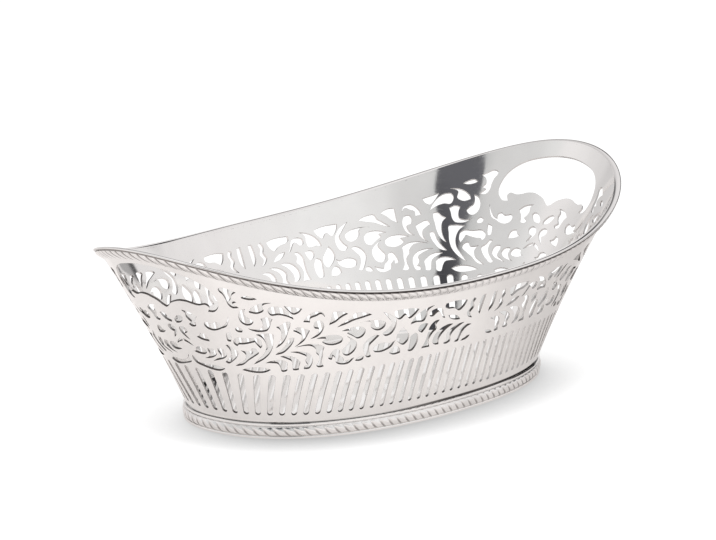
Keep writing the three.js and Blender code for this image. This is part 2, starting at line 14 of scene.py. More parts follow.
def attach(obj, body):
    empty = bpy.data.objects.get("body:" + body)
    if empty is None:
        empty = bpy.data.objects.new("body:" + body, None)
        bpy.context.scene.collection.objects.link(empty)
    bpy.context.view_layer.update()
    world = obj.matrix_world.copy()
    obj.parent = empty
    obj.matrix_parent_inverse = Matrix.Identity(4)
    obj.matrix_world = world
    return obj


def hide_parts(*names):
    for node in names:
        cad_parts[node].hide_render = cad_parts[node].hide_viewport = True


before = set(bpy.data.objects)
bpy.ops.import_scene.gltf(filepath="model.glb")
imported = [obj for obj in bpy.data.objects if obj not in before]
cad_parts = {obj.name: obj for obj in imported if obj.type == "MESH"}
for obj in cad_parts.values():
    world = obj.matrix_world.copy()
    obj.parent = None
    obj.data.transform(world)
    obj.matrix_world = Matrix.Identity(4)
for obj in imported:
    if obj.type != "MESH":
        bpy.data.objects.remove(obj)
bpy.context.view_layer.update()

MM = 0.001
RIM_HALF = (145.6, 73.8)
RIM_SQUARENESS = 2.11
RIM_HEIGHT_ENDS = 85.4
RIM_HEIGHT_SIDES = 62
RIM_SHEER = 2.67
BASE_HALF = (92.9, 52)
BASE_SQUARENESS = 2.24
WALL_BOTTOM = 6.5
WALL_THICKNESS = 1.1
HOLLOW_ENDS = 0.12
HOLLOW_SIDES = 0.23
FLOOR_THICKNESS = 1
BEAD_HEIGHT = 1.1
BEAD_OUT = 2.1
RIM_ROPE_TOP = 1.15
RIM_ROPE_HEIGHT = 4.2
RIM_ROPE_WIDEST = 0.75
FOOT_RING_HEIGHT = 1.1
FOOT_ROPE_BOTTOM = 1.3
FOOT_ROPE_HEIGHT = 3.7
FOOT_ROPE_BULGE = 1.3
FOOT_ROPE_EDGE = 0.4
COLLAR_BOTTOM = 5.2
COLLAR_TOP = 6.3
COLLAR_PROUD = 0.9
COLLAR_LEDGE = 4
FOOT_RING_INNER = 2.5
SLOT_COUNT = 98
SLOT_WIDTH = 2.4
SLOT_BOTTOM = 10
SLOT_TOP = 30
ORNAMENT_BOTTOM = 32.8
ORNAMENT_TOP_SHARE = 0.84
FAN_TURN = 0.5
EDGE_ROUND = 0.1
CUT_LEAN = 1.3
PLAIN_EDGE = 0.04
FILLET = 0.7
SHARP_TURN = math.radians(80)
RIM_STROKES = 163
FOOT_STROKES = 112
GROOVE_ENDS = 0.45
RIM_TWIST_LEAN = 0.9
FOOT_TWIST_LEAN = 1.1
STEPS_PER_STROKE = 14
ROPE_ROWS = 15
BEAD_ROWS = 15
BEAD_LIP = 1.1

# Fineness of the wall: points of its grid round and up, and how far they keep from an edge
GRID_ROUND = 181
GRID_UP = 32
EDGE_POINTS_UP = 40
CLEAR_OF_EDGE = 0.9
OUTLINE_STEP = 0.5

# Camera, fitted to the photograph: degrees, metres and lens millimetres
CAMERA_AZIMUTH = -50.197
CAMERA_ELEVATION = 12.672
CAMERA_DISTANCE = 2.5168
CAMERA_TARGET = (-0.004159, 0.000029, 0.052997)
CAMERA_LENS = 302.3
CAMERA_SENSOR = 36

# Floor: glow that the camera sees, and reach and lean of the painted contact shadow close to the foot, which
# an occlusion node drives
FLOOR_GLOW = 0.84
FLOOR_REACH = 0.024
FLOOR_LEAN = (0.5, 0.64, 0.58)

# Painted shade on the floor as the silver mirrors it, darker towards the right: metres along the basket,
# brightness
MIRRORED_FLOOR_SHADE = (
    (-0.16, 0.93), (-0.09, 0.935), (-0.036, 0.905), (-0.012, 0.895), (0.009, 0.88), (0.034, 0.853),
    (0.051, 0.82), (0.085, 0.72), (0.115, 0.69), (0.15, 0.65), (0.19, 0.62), (0.26, 0.6),
)
FLOOR_SPAN = (-0.16, 0.26)

# Tent as the silver mirrors it: bearing in degrees, brightness, warmth
MIRRORED_TENT = (
    (-180, 0.69, 1.0), (-160, 0.67, 1.0), (-146, 0.6, 0.99), (-140, 0.55, 0.99), (-108, 0.66, 0.99),
    (-101, 0.7, 1.0), (-90, 0.71, 1.0), (-78, 0.81, 1.0), (-66, 0.87, 1.0), (-57, 0.88, 1.0),
    (-42, 0.85, 1.01), (-34, 0.83, 1.02), (-12, 0.8, 1.02), (30, 0.78, 1.02), (60, 0.63, 1.02),
    (78, 0.63, 1.02), (90, 0.71, 1.02), (102, 0.75, 1.02), (116, 0.82, 1.02), (126, 0.85, 1.02),
    (138, 0.78, 1.0), (155, 0.71, 1.0), (165, 0.69, 1.0), (180, 0.69, 1.0),
)

# Sides of the tent's dark gap: height in degrees, bearing
GAP_RIGHT = (
    (40.5, -153), (42, -146), (43.5, -145), (44.6, -136), (45, -135), (51, -148), (53.4, -147),
    (54.6, -141),
)
GAP_LEFT = ((40.5, -118), (43, -107), (54, -106))
GAP_LOW = (0.06, 0.06, 0.067, 1)
GAP_HIGH = (0.128, 0.129, 0.142, 1)
ROOM_DARK = (0.02, 0.02, 0.022, 1)
# Painted shade: the darkest colour, in the joint under the rim's bead
DEEPEST_PAINTED_SHADE = (0.05, 0.044, 0.042, 1)

# Holes of one quarter: degrees round the oval from the handle, per cent of the way up the band
HAND_HOLE_HALF = [
    (0, 64.6), (1.2, 66.4), (3.1, 70.7), (5.2, 73.5), (7.6, 75.9), (10, 76.6), (14.8, 75.2),
    (17.6, 77.7), (18.3, 75.6), (17.3, 69.5), (19.5, 70.7), (21, 75.6), (22, 84), (21.8, 92),
    (20.4, 101.5), (18, 107.3), (15, 110.6), (10, 112.5), (0, 113.7),
]

QUARTER_ORNAMENT = {
    "leaf_under_cusp": [(5.3, 55.9), (4.6, 57), (3.1, 56), (1.7, 53), (0.8, 48.8), (1.1, 46.7),
        (2.8, 47.4), (4.6, 51)],
    "end_comma": [(4.7, 40.3), (3.8, 43), (2.3, 43), (0.9, 39.6), (0.9, 36), (2, 31.9), (4, 27.6),
        (3.1, 31.9), (2.5, 34.7), (3.8, 36)],
    "end_blade": [(4.2, 20.5), (2.4, 23), (0.4, 25.6), (0.4, 28), (2.4, 25.4)],
    "flame": [(11.9, 59.4), (9.6, 63.6), (6.4, 64.6), (7.5, 61.5), (7.2, 57.3), (8.6, 51), (7, 48),
        (8, 45.7), (9.6, 46.7), (10.3, 51.6), (10.9, 55.9)],
    "bud": [(12.7, 29.8), (11.8, 38.2), (10.1, 39), (9.6, 36), (7.8, 33.3), (9.6, 30.7)],
    "scroll_under_handle": [(23.5, 68), (22.3, 60), (20.6, 53.6), (19.3, 51.4), (19.3, 56.6),
        (18.5, 57.3), (16.9, 54.4), (14.3, 54.4), (13.5, 51), (14.1, 46.7), (15.9, 44.9),
        (18, 46.7), (19.6, 49.5), (21.2, 52.3), (22.6, 59)],
    "drop": [(22, 46), (20.6, 43.9), (20, 38.9), (20.1, 33.3), (20.9, 33.3), (21.6, 38.9)],
    "dot": [(26.3, 51.6), (25.3, 54.9), (24.1, 51.6), (24.5, 48), (25.9, 48)],
    "crescent_one": [(22, 20.6), (20.6, 24), (19.3, 28.4), (18.4, 27.6), (19.3, 22), (19, 15.7),
        (17.4, 10), (15.7, 5.8), (16.4, 4), (19, 7.9), (20.9, 13.5)],
    "crescent_two": [(17.4, 18), (16.5, 22.3), (14.8, 22.6), (14.4, 19.5), (14.8, 15), (14.9, 12),
        (13.3, 9.6), (10.6, 5.4), (13.4, 7.6), (15.8, 10.2), (17.1, 13.5)],
    "crescent_three": [(13.4, 15), (12.5, 20), (10.3, 20.6), (10.1, 18.5), (10.3, 13.5),
        (9.6, 10.7), (7.2, 7.6), (9.8, 8.6), (12.2, 11.4)],
    "low_leaf": [(9.4, 16.4), (8.6, 19.9), (6.4, 20.9), (5, 19.2), (4.6, 15.7), (3.1, 14.2),
        (5.9, 12), (8.3, 12.8)],
    "low_slit_one": [(30.8, -3), (29.9, -1.4), (22.5, -1.5), (21, -3.3), (22.5, -4.9), (29.9, -4.9)],
    "low_slit_two": [(14.3, -3), (13.3, -1.4), (4.5, 1), (2.6, 3.4), (1.2, 8.4), (0.6, 7), (1.2, 0),
        (4.5, -3.4), (13.3, -4.9)],
    "flag": [(28.7, 105), (27.3, 106.5), (24.8, 107), (23.9, 104.5), (23.9, 101), (24.5, 98.2),
        (24.9, 92.5), (25.1, 84), (25.9, 81), (27.9, 83), (26.3, 87), (27.7, 90.4), (26.7, 94.6),
        (27.1, 98.9)],
    "lens": [(33.8, 101), (32.1, 102.8), (30.5, 102), (29.5, 98.4), (30.5, 97.4), (32.1, 98)],
    "long_comma": [(37.2, 99), (34.1, 94.4), (32.2, 88.9), (30.6, 81.8), (30.3, 78.6), (32.6, 78.6),
        (34.4, 83.9), (34.6, 92)],
    "horn": [(29.5, 83), (28.3, 80.4), (27.1, 74), (26.6, 67), (27, 61), (28.4, 58.7), (29.7, 61),
        (30.5, 65), (29.9, 69), (28.8, 72), (28.8, 76.5)],
    "swan": [(36.1, 73), (34.4, 74.7), (32.9, 71.4), (33.1, 66), (32.4, 58), (30.4, 54.4),
        (28.2, 54.6), (29.6, 51.8), (31.7, 51.6), (33.6, 54.3), (34.6, 59.8), (35.4, 67.5)],
    "bracket": [(30.8, 34.7), (30.8, 39), (29.8, 41.7), (26.9, 40.3), (23.2, 39), (22, 35.4),
        (21.7, 31), (22.5, 28), (23.3, 30.5), (24.5, 31), (26.9, 33.3), (28.8, 36), (29.2, 31.9),
        (29.9, 27.6), (30.5, 30.5)],
    "tailed_leaf": [(28.8, 20.6), (28.4, 26.2), (27.3, 27), (26.3, 22.7), (24.3, 22), (23.1, 22.7),
        (24.3, 15.7), (23.5, 10.7), (21.2, 5.6), (19, 1.6), (21.7, 3), (24.8, 10.2), (26.9, 15)],
    "acanthus": [(34.9, 50), (33.4, 50), (29.9, 46.8), (31.4, 43), (31.9, 37.5), (31.8, 30.5),
        (30.8, 22), (29.1, 15.4), (25.9, 4.6), (29.6, 11.6), (32.2, 20.6), (33.5, 29), (34.4, 40.3)],
    "fat_arch": [(41.6, 76.4), (40.9, 86.2), (39.7, 92.4), (38.2, 94), (36.5, 91.6), (35.8, 87.7),
        (36.1, 78.6), (38, 81), (39.7, 80.4)],
    "curl_leaf": [(40.4, 71.5), (39.2, 70.5), (37.7, 64.5), (36.4, 61.5), (37.3, 57), (37.1, 48),
        (36.1, 38), (34.5, 29), (36.7, 36), (38.3, 46), (39.4, 57), (40.2, 65)],
    "thin_stem": [(40.4, 46), (39.5, 46), (37.5, 33.6), (35.8, 26), (33.7, 18.8), (36.1, 21.6),
        (38.1, 29), (39.8, 39)],
    "flat_comma": [(44.9, 59), (43.8, 61.6), (41.7, 62.9), (40.6, 57), (41.7, 54.3), (42.5, 50.5),
        (42.2, 43.4), (39.8, 31.4), (42.9, 42.6), (44, 51)],
    "goose": [(48.2, 77.5), (46.9, 76), (46.1, 68), (46.3, 63.5), (47.3, 62), (46.8, 56),
        (44.5, 45), (46.7, 50.5), (48.2, 61), (48.7, 71)],
    "hoop": [(49.3, 84.5), (48.9, 92.5), (47.2, 92.6), (45.3, 84.4), (43.8, 73.4), (45.4, 73.4),
        (45.7, 79.6), (47.3, 85.2), (48.5, 89.6)],
    "cap_one": [(44.4, 96.3), (40.1, 97), (40.9, 89.3), (42.1, 84.6), (43.1, 87.7)],
    "hook_one": [(47.6, 30.3), (46.5, 35), (43.3, 35.7), (40.1, 31), (45, 30.4), (45.4, 26),
        (45.2, 21), (45.8, 15.6), (45.4, 7.5), (44.5, -1), (44.9, -3), (46.4, -2.3), (46.1, 5.4),
        (46.8, 16.3), (47.1, 24)],
    "hook_two": [(38.2, 23.3), (40.9, 24), (43.1, 20.7), (43.9, 13.2), (43.3, 2.3), (42.2, -3.9),
        (40.8, -3.9), (41.2, 0.8), (42.2, 2.3), (41.8, 9.3), (42.4, 14.8), (41.4, 19)],
    "hook_three": [(34.9, 16.3), (37.2, 17.6), (39.5, 12.6), (40.2, 7), (39.6, 0.8), (39.2, -4.7),
        (37.7, -4.7), (37.8, 2.3), (37.9, 8.5), (36.7, 12.8)],
    "hook_four": [(29.9, 6.7), (32.4, 10.4), (34.9, 11), (36.5, 7), (36.1, 0.8), (35.6, -5.4),
        (34.3, -6.4), (34, 0.8), (33.6, 5.4), (31.9, 6.8)],
    "top_comma": [(54.8, 92), (53.3, 96), (51.4, 94.4), (51, 87.7), (50.6, 80), (49.9, 70),
        (51.7, 76.4), (53, 84)],
    "big_comma": [(60.3, 90), (58.1, 94.7), (56.2, 91.8), (55.5, 84.6), (54.3, 78.8), (51.8, 66.5),
        (54, 72), (55.8, 78.4), (57.7, 83)],
    "blade_comma": [(52.7, 44.3), (51.9, 50.5), (49.4, 51.4), (46.1, 45.6), (48.5, 45.6),
        (47.3, 39.6), (48.3, 35), (51.1, 35), (52.3, 39)],
    "blob": [(58.5, 59), (57.8, 65.4), (56, 66.2), (52.7, 59), (54.6, 59.6), (53.9, 54.6),
        (55.1, 49.4), (56.7, 43.6), (57.7, 47.4), (58.3, 53)],
    "seed_leaf": [(53.8, 48.9), (54.5, 41), (53.3, 31.8), (52.1, 24), (52.3, 14.8), (53.1, 12.4),
        (54.8, 17.9), (55.8, 27.2), (56, 35), (55.2, 42.7)],
    "crook": [(51.4, 24), (50.4, 26.4), (49, 19.4), (48.1, 10), (48.9, 7.8), (49.4, 14), (50, 10),
        (49.9, 2.3), (51.1, -2.3), (53.3, -1.5), (54.9, 8), (53.4, 4.6), (52, 3), (52, 8.5),
        (51.1, 14.8)],
    "seed": [(57.4, 7), (56.4, 8.8), (55, 1.6), (56.5, 0.6), (57.2, 3)],
    "scythe": [(61.8, 46), (60.7, 47.4), (59.1, 41.6), (57.6, 30), (57.5, 18), (58.7, 4.4),
        (59.3, 6), (58.9, 18), (59.2, 28), (60.4, 36.6)],
    "wheel_comma": [(63.5, 70), (62.6, 76), (60.5, 78), (57.1, 74), (59.9, 73.4), (59.8, 66),
        (60.7, 58.4), (62, 57), (63.1, 62.6)],
    "long_crescent": [(63, 93.6), (64.2, 80), (64.9, 70), (64.1, 60), (62.6, 50), (63.3, 43.6),
        (64.8, 47), (65.7, 56.6), (66.1, 70), (65.4, 82)],
    "cap_two": [(71.5, 93.4), (70.7, 95.4), (65.6, 94.6), (65.6, 88), (67, 75.6), (68.3, 84),
        (69.3, 75), (70.6, 83)],
    "bean_pod": [(65.8, 32), (64.6, 27.5), (63.4, 29.6), (61.5, 28.4), (60.1, 22.4), (60.1, 15.4),
        (61.5, 11.6), (63.2, 13.6), (64.8, 20)],
    "pebble": [(67, 12), (66, 19.6), (64.8, 15), (64.2, 6.6), (65.4, 2), (67.1, 3.6)],
    "plume": [(67.8, 58), (68.9, 46), (69.4, 38), (69.1, 27), (68.2, 20), (66.6, 27), (66.1, 38),
        (66.7, 49)],
    "grass_blade": [(71.2, 41), (71.8, 33), (71.6, 16), (70.3, 3), (69.4, 4), (69.4, 20),
        (69.9, 36)],
    "small_drop": [(74.2, 57), (73.2, 59), (72, 55.6), (71.7, 48), (72.8, 39), (73.5, 46)],
    "long_stem": [(77.2, 61), (76.4, 51), (76.7, 42), (75.9, 35), (75, 22), (75.3, 4), (73, 4),
        (74, 20), (74.4, 34), (74.8, 50), (75.9, 60)],
    "fan_one": [(81.3, 45), (79.6, 46), (77.5, 38), (76.2, 24), (76.1, 12), (76.9, 6), (78, 5),
        (77.8, 14), (78.4, 26), (79.4, 35)],
    "fan_two": [(84.6, 42.5), (83, 42), (81.2, 36), (79.9, 25), (80, 12), (79.4, 4.4), (80.2, 2),
        (81.4, 6), (81.3, 18), (82, 29), (83.2, 36)],
    "fan_three": [(87, 34), (85.4, 36), (84, 31), (83.2, 20), (83.2, 10), (82.8, 2), (84, 1.4),
        (84.4, 12), (84.8, 22), (85.6, 29)],
    "fan_four": [(87.5, 9), (87, 3.4), (85.8, 0), (84.8, 0.4), (85.4, 4.4), (86.4, 8)],
    "little_arch": [(78.6, 63), (77.9, 72), (77.5, 84), (75.8, 88.4), (74.5, 83), (74.3, 75),
        (75.2, 72), (75.9, 77), (76.6, 80.6), (77.3, 74), (78, 65)],
    "fat_comma": [(75.3, 97), (73.4, 92.6), (71.3, 82), (70.1, 71), (69.6, 61.4), (70.9, 64.4),
        (73.1, 66), (73.6, 76), (73.7, 86)],
    "cap_three": [(83.9, 93.6), (82.6, 96.4), (78.2, 95.5), (78.1, 88), (79, 83), (80.6, 81),
        (82.4, 73.6), (83.3, 81)],
    "mid_leaf": [(83, 52), (81.4, 54), (80, 60), (79.4, 67), (80.8, 66), (82.2, 60)],
    "side_crescent": [(86.3, 92), (85.9, 84), (86.3, 73), (85.6, 62), (86.6, 49), (85.2, 55),
        (84.6, 64), (85.2, 74), (84.9, 86), (85.5, 96)],
    "side_slit": [(88.9, 97), (88.9, 78), (88.7, 53), (88, 60), (87.9, 96)],
}


def oval(half, squareness, angle):
    c, s = np.cos(angle), np.sin(angle)
    reach = (np.abs(c) ** squareness + np.abs(s) ** squareness) ** (-1 / squareness)
    return np.stack([half[0] * c * reach, half[1] * s * reach], -1)


def inset_half(half, inset):
    return half[0] - inset, half[1] - inset


def rim_height(angle):
    rise = RIM_HEIGHT_ENDS - RIM_HEIGHT_SIDES
    return RIM_HEIGHT_SIDES + rise * np.abs(np.cos(angle)) ** RIM_SHEER


def share_at(angle, height):
    return (height - WALL_BOTTOM) / (rim_height(angle) - WALL_BOTTOM)


def wall_point(angle, share, inset=0.0):
    """Point of the flared face, moved level towards the inside by inset."""
    angle, share = np.broadcast_arrays(np.asarray(angle, float), np.asarray(share, float))
    inset = np.broadcast_to(inset, angle.shape)
    hollow = HOLLOW_SIDES + (HOLLOW_ENDS - HOLLOW_SIDES) * np.cos(angle) ** 2
    spread = (share + hollow * (share**2 - share))[..., None]
    base = oval(inset_half(BASE_HALF, inset), BASE_SQUARENESS, angle)
    rim = oval(inset_half(RIM_HALF, inset + BEAD_OUT), RIM_SQUARENESS, angle)
    height = WALL_BOTTOM + (rim_height(angle) - WALL_BOTTOM) * share
    return np.concatenate([base + (rim - base) * spread, height[..., None]], -1)


def wall_slopes(angle, share, inset=0.0):
    step = 1e-4
    here = wall_point(angle, share, inset)
    along = (wall_point(angle + step, share, inset) - here) / step
    up = (wall_point(angle, share + step, inset) - here) / step
    return along, up


def wall_normal(angle, share, inset=0.0):
    along, up = wall_slopes(angle, share, inset)
    return unit(np.cross(along, up))


def unit(vectors):
    return vectors / np.linalg.norm(vectors, axis=-1, keepdims=True)


def fan(places):
    """The flared wall laid flat, a piece of a fan."""
    bottom, top = sum(BASE_HALF), sum(RIM_HALF)
    radius = (bottom + (top - bottom) * places[:, 1]) / 2 / FAN_TURN
    turn = places[:, 0] * FAN_TURN
    return np.stack([radius * np.sin(turn), radius * np.cos(turn)], -1)


def unfan(flat, towards):
    bottom, top = sum(BASE_HALF), sum(RIM_HALF)
    middle = towards * FAN_TURN
    x = flat[:, 0] * math.cos(middle) - flat[:, 1] * math.sin(middle)
    y = flat[:, 0] * math.sin(middle) + flat[:, 1] * math.cos(middle)
    radius = np.hypot(x, y)
    share = (radius * 2 * FAN_TURN - bottom) / (top - bottom)
    return np.stack([towards + np.arctan2(x, y) / FAN_TURN, share], -1)


def anticlockwise(loop):
    flat = fan(loop)
    nxt = np.roll(flat, -1, 0)
    area = np.sum(flat[:, 0] * nxt[:, 1] - nxt[:, 0] * flat[:, 1])
    return loop if area > 0 else loop[::-1]


def smooth_outline(corners, sharp_at=(), longest=OUTLINE_STEP):
    """Curve through the corners of an outline that keeps its points."""
    corners = np.asarray(corners, float)
    count = len(corners)
    places = wall_point(corners[:, 0], corners[:, 1])
    ahead = np.roll(places, -1, 0) - places
    length = np.linalg.norm(ahead, axis=1)
    ahead = unit(ahead)
    turn = np.arccos(np.clip(np.sum(ahead * np.roll(ahead, 1, 0), 1), -1, 1))
    sharp = turn > SHARP_TURN
    for corner in sharp_at:
        sharp[corner] = True
    slope_next = (np.roll(corners, -1, 0) - corners) / length[:, None]
    slope_last = np.roll(slope_next, 1, 0)
    last = np.roll(length, 1)
    slope = (last[:, None] * slope_next + length[:, None] * slope_last) / (last + length)[:, None]
    outline = []
    for here in range(count):
        after = (here + 1) % count
        run = length[here]
        start, end = slope[here], slope[after]
        if sharp[here] and sharp[after]:
            start = end = slope_next[here]
        elif sharp[here]:
            start = 1.5 * slope_next[here] - 0.5 * end
        elif sharp[after]:
            end = 1.5 * slope_next[here] - 0.5 * start
        steps = max(2, math.ceil(run / longest))
        t = (np.arange(steps) / steps)[:, None]
        outline.append(
            (2 * t**3 - 3 * t**2 + 1) * corners[here]
            + (t**3 - 2 * t**2 + t) * run * start
            + (3 * t**2 - 2 * t**3) * corners[after]
            + (t**3 - t**2) * run * end
        )
    return np.concatenate(outline)


def into_sheet(loop):
    """Directions in the sheet, away from an anticlockwise hole, at each point of its outline."""
    places = wall_point(loop[:, 0], loop[:, 1])
    before = unit(places - np.roll(places, 1, 0))
    after = unit(np.roll(places, -1, 0) - places)
    normal = wall_normal(loop[:, 0], loop[:, 1])
    return unit(np.cross(unit(before + after + 1e-9), normal))


def moved(loop, direction, distance):
    along, up = wall_slopes(loop[:, 0], loop[:, 1])
    aa, uu, au = (np.sum(p * q, 1) for p, q in ((along, along), (up, up), (along, up)))
    da, du = (np.sum(direction * p, 1) for p in (along, up))
    det = aa * uu - au**2
    step = np.stack([(da * uu - du * au) / det, (du * aa - da * au) / det], -1)
    return loop + step * distance


def ornament_places(outline):
    places = np.asarray(outline, float)
    angle = np.radians(places[:, 0])
    bottom = share_at(angle, ORNAMENT_BOTTOM)
    share = bottom + (ORNAMENT_TOP_SHARE - bottom) * places[:, 1] / 100
    return np.stack([angle, share], -1)


def turned(loop, towards, side):
    return np.stack([towards + side * loop[:, 0], loop[:, 1]], -1)


def ornament_loops(towards):
    loops = []
    for outline in QUARTER_ORNAMENT.values():
        for side in (1, -1):
            loops.append(smooth_outline(turned(ornament_places(outline), towards, side)))
    return loops


def hand_hole(towards):
    half = ornament_places(HAND_HOLE_HALF)
    mirrored = half[1:-1][::-1] * [-1, 1]
    return smooth_outline(turned(np.concatenate([half, mirrored]), towards, 1), sharp_at=(0,))


def even_angles(curve, count, start=0.0):
    """Angles evenly spaced along a closed curve."""
    fine = np.linspace(0, 2 * math.pi, 8001)
    lengths = np.linalg.norm(np.diff(curve(fine), axis=0), axis=1)
    so_far = np.concatenate([[0], np.cumsum(lengths)])
    wanted = (np.arange(count) + start) / count * so_far[-1]
    return np.interp(wanted, so_far, fine)


def slot_loop(angle):
    """A slot stands square to the base, so it leans in the wall where the flare does."""
    middle = share_at(angle, (SLOT_BOTTOM + SLOT_TOP) / 2)
    along, up = wall_slopes(np.array([angle]), np.array([middle]))
    lean = -np.dot(up[0], along[0]) / np.dot(along[0], along[0])
    half = SLOT_WIDTH / 2
    ends = []
    for height, first in ((SLOT_BOTTOM + half, math.pi), (SLOT_TOP - half, 0)):
        turn = first + np.linspace(0, math.pi, 11)
        ends.append(np.stack([half * np.cos(turn), height + half * np.sin(turn)], -1))
    sides = []
    for side, heights in ((1, (SLOT_BOTTOM, SLOT_TOP)), (-1, (SLOT_TOP, SLOT_BOTTOM))):
        run = np.linspace(heights[0] + np.sign(heights[1] - heights[0]) * half * 1.6,
                          heights[1] - np.sign(heights[1] - heights[0]) * half * 1.6, 9)
        sides.append(np.stack([np.full(9, side * half), run], -1))
    flat = np.concatenate([ends[0], sides[0], ends[1], sides[1]])
    share = share_at(angle, flat[:, 1])
    lift = share - share_at(angle, SLOT_BOTTOM)
    return np.stack([angle + flat[:, 0] / np.linalg.norm(along[0]) + lean * lift, share], -1)


def mesh_object(name, points, faces, normals, parts, materials):
    """Mesh of points in millimetres. normals holds one normal for each corner of each face."""
    mesh = bpy.data.meshes.new(name)
    mesh.from_pydata((np.asarray(points) * MM).tolist(), [], faces)
    mesh.polygons.foreach_set("use_smooth", [True] * len(faces))
    if parts is not None:
        mesh.polygons.foreach_set("material_index", parts)
    for material in materials:
        mesh.materials.append(material)
    if normals is not None:
        mesh.normals_split_custom_set(np.asarray(normals).tolist())
    mesh.update()
    piece = bpy.data.objects.new(name, mesh)
    bpy.context.scene.collection.objects.link(piece)
    return piece


def behind(angle, share):
    """Spot of the inner face straight behind one of the outer face, seen square to the sheet."""
    up = np.linalg.norm(wall_slopes(angle, share)[1], axis=-1)
    lift = -WALL_THICKNESS * CUT_LEAN * wall_normal(angle, share)[..., 2] / up
    return share + lift * np.clip(np.minimum(share, 1 - share) / PLAIN_EDGE, 0, 1)


def pierced_sheet(name, edge, holes, grid, towards, materials):
    """Curved sheet with holes cut square to it, their edges slightly rounded."""
    holes = [anticlockwise(hole) for hole in holes]
    sideways = [into_sheet(hole) for hole in holes]
    wide = [moved(hole, side, EDGE_ROUND) for hole, side in zip(holes, sideways)]
    loops = [anticlockwise(edge)] + wide
    near = KDTree(sum(map(len, loops)))
    for number, (x, y) in enumerate(np.concatenate([fan(loop) for loop in loops])):
        near.insert((x, y, 0), number)
    near.balance()
    clear = [near.find((x, y, 0))[2] > CLEAR_OF_EDGE for x, y in fan(grid)]
    loose = [place for place, free in zip(grid, clear) if free]
    flat = fan(np.concatenate(loops + [np.array(loose)]))
    rounds, first = [], 0
    for loop in loops:
        rounds.append(list(range(first, first + len(loop))))
        first += len(loop)
    sides = [(a, b) for ring in rounds for a, b in zip(ring, ring[1:] + ring[:1])]
    found = delaunay_2d_cdt([Vector(p) for p in flat], sides, rounds, 0, 1e-6, True)
    spots = unfan(np.array(found[0]), towards)
    triangles = np.array([face for face, at in zip(found[2], found[5]) if list(at) == [0]])
    new_of = {}
    for spot, olds in enumerate(found[3]):
        for old in olds:
            new_of[old] = spot
    count = len(spots)
    angle, share = spots[:, 0], spots[:, 1]
    outer_normal = wall_normal(angle, share)
    share_in = behind(angle, share)
    inner_normal = -wall_normal(angle, share_in, WALL_THICKNESS)
    points = [wall_point(angle, share), wall_point(angle, share_in, WALL_THICKNESS)]
    faces = triangles.tolist() + (triangles[:, ::-1] + count).tolist()
    normals = [outer_normal[triangles].reshape(-1, 3), inner_normal[triangles[:, ::-1]].reshape(-1, 3)]
    parts = [0] * len(faces)
    total = 2 * count
    for ring, hole, side in zip(rounds[1:], holes, sideways):
        steps = len(hole)
        rim_out = np.array([new_of[i] for i in ring])
        depth_out = total + np.arange(steps)
        depth_in = depth_out + steps
        rim_in = rim_out + count
        points.append(wall_point(hole[:, 0], hole[:, 1], EDGE_ROUND))
        points.append(wall_point(hole[:, 0], behind(*hole.T), WALL_THICKNESS - EDGE_ROUND))
        total += 2 * steps
        face_in = -side
        rows = (
            (rim_out, depth_out, outer_normal[rim_out], face_in, 0),
            (depth_out, depth_in, face_in, face_in, 1),
            (depth_in, rim_in, face_in, inner_normal[rim_out], 0),
        )
        for top, bottom, top_normal, bottom_normal, part in rows:
            top_next, bottom_next = np.roll(top, -1), np.roll(bottom, -1)
            faces += np.stack([top, top_next, bottom_next, bottom], -1).tolist()
            corner_normals = np.stack(
                [top_normal, np.roll(top_normal, -1, 0), np.roll(bottom_normal, -1, 0), bottom_normal], 1
            )
            normals.append(corner_normals.reshape(-1, 3))
            parts += [part] * steps
    ring = np.array([new_of[i] for i in rounds[0]])
    after = np.roll(ring, -1)
    faces += np.stack([ring, ring + count, after + count, after], -1).tolist()
    outwards = into_sheet(loops[0])
    outwards_after = np.roll(outwards, -1, 0)
    normals.append(np.stack([outwards, outwards, outwards_after, outwards_after], 1).reshape(-1, 3))
    parts += [0] * len(ring)
    return mesh_object(name, np.concatenate(points), faces, np.concatenate(normals), parts, materials)


def half_wall(name, towards, materials):
    reach = math.pi / 2
    angles = np.linspace(towards - reach, towards + reach, GRID_ROUND)
    top_share = share_at(angles, rim_height(angles) - BEAD_HEIGHT / 2)
    bottom = np.stack([angles, np.zeros_like(angles)], -1)
    top = np.stack([angles, top_share], -1)[::-1]
    rise = np.linspace(0, top_share[0], EDGE_POINTS_UP)[1:-1]
    up = np.stack([np.full_like(rise, angles[-1]), rise], -1)
    down = np.stack([np.full_like(rise, angles[0]), rise], -1)[::-1]
    holes = ornament_loops(towards) + [hand_hole(towards)]
    base = lambda angle: oval(BASE_HALF, BASE_SQUARENESS, angle)
    for angle in even_angles(base, SLOT_COUNT):
        turn = math.remainder(angle - towards, 2 * math.pi)
        if abs(turn) < reach:
            holes.append(slot_loop(towards + turn))
    shares = np.linspace(0.03, 0.95, GRID_UP)
    grid = np.stack(np.meshgrid(angles[1:-1], shares), -1).reshape(-1, 2)
    return pierced_sheet(name, np.concatenate([bottom, up, top, down]), holes, grid, towards, materials)


def ring_piece(name, section, angles, materials, sharp=35, groove=None):
    """Closed ring. section gives rows of points, anticlockwise seen along the growing angle."""
    points = section(angles)
    steps, corners = points.shape[:2]
    here = np.arange(steps * corners).reshape(steps, corners)
    ahead = np.roll(here, -1, 0)
    faces = np.stack([here, ahead, np.roll(ahead, -1, 1), np.roll(here, -1, 1)], -1).reshape(-1, 4)
    piece = mesh_object(name, points.reshape(-1, 3), faces.tolist(), None, None, materials)
    piece.data.set_sharp_from_angle(angle=math.radians(sharp))
    if groove is not None:
        depth = piece.data.attributes.new("groove", "FLOAT", "POINT")
        depth.data.foreach_set("value", groove(angles).reshape(-1).astype(np.float32))
    return piece


def rim_line(angle, out, down):
    """Point beside the rim: outwards from the wall's outer face and down from the rim's top."""
    return wall_point(angle, share_at(angle, rim_height(angle) - down), -np.asarray(out, float))


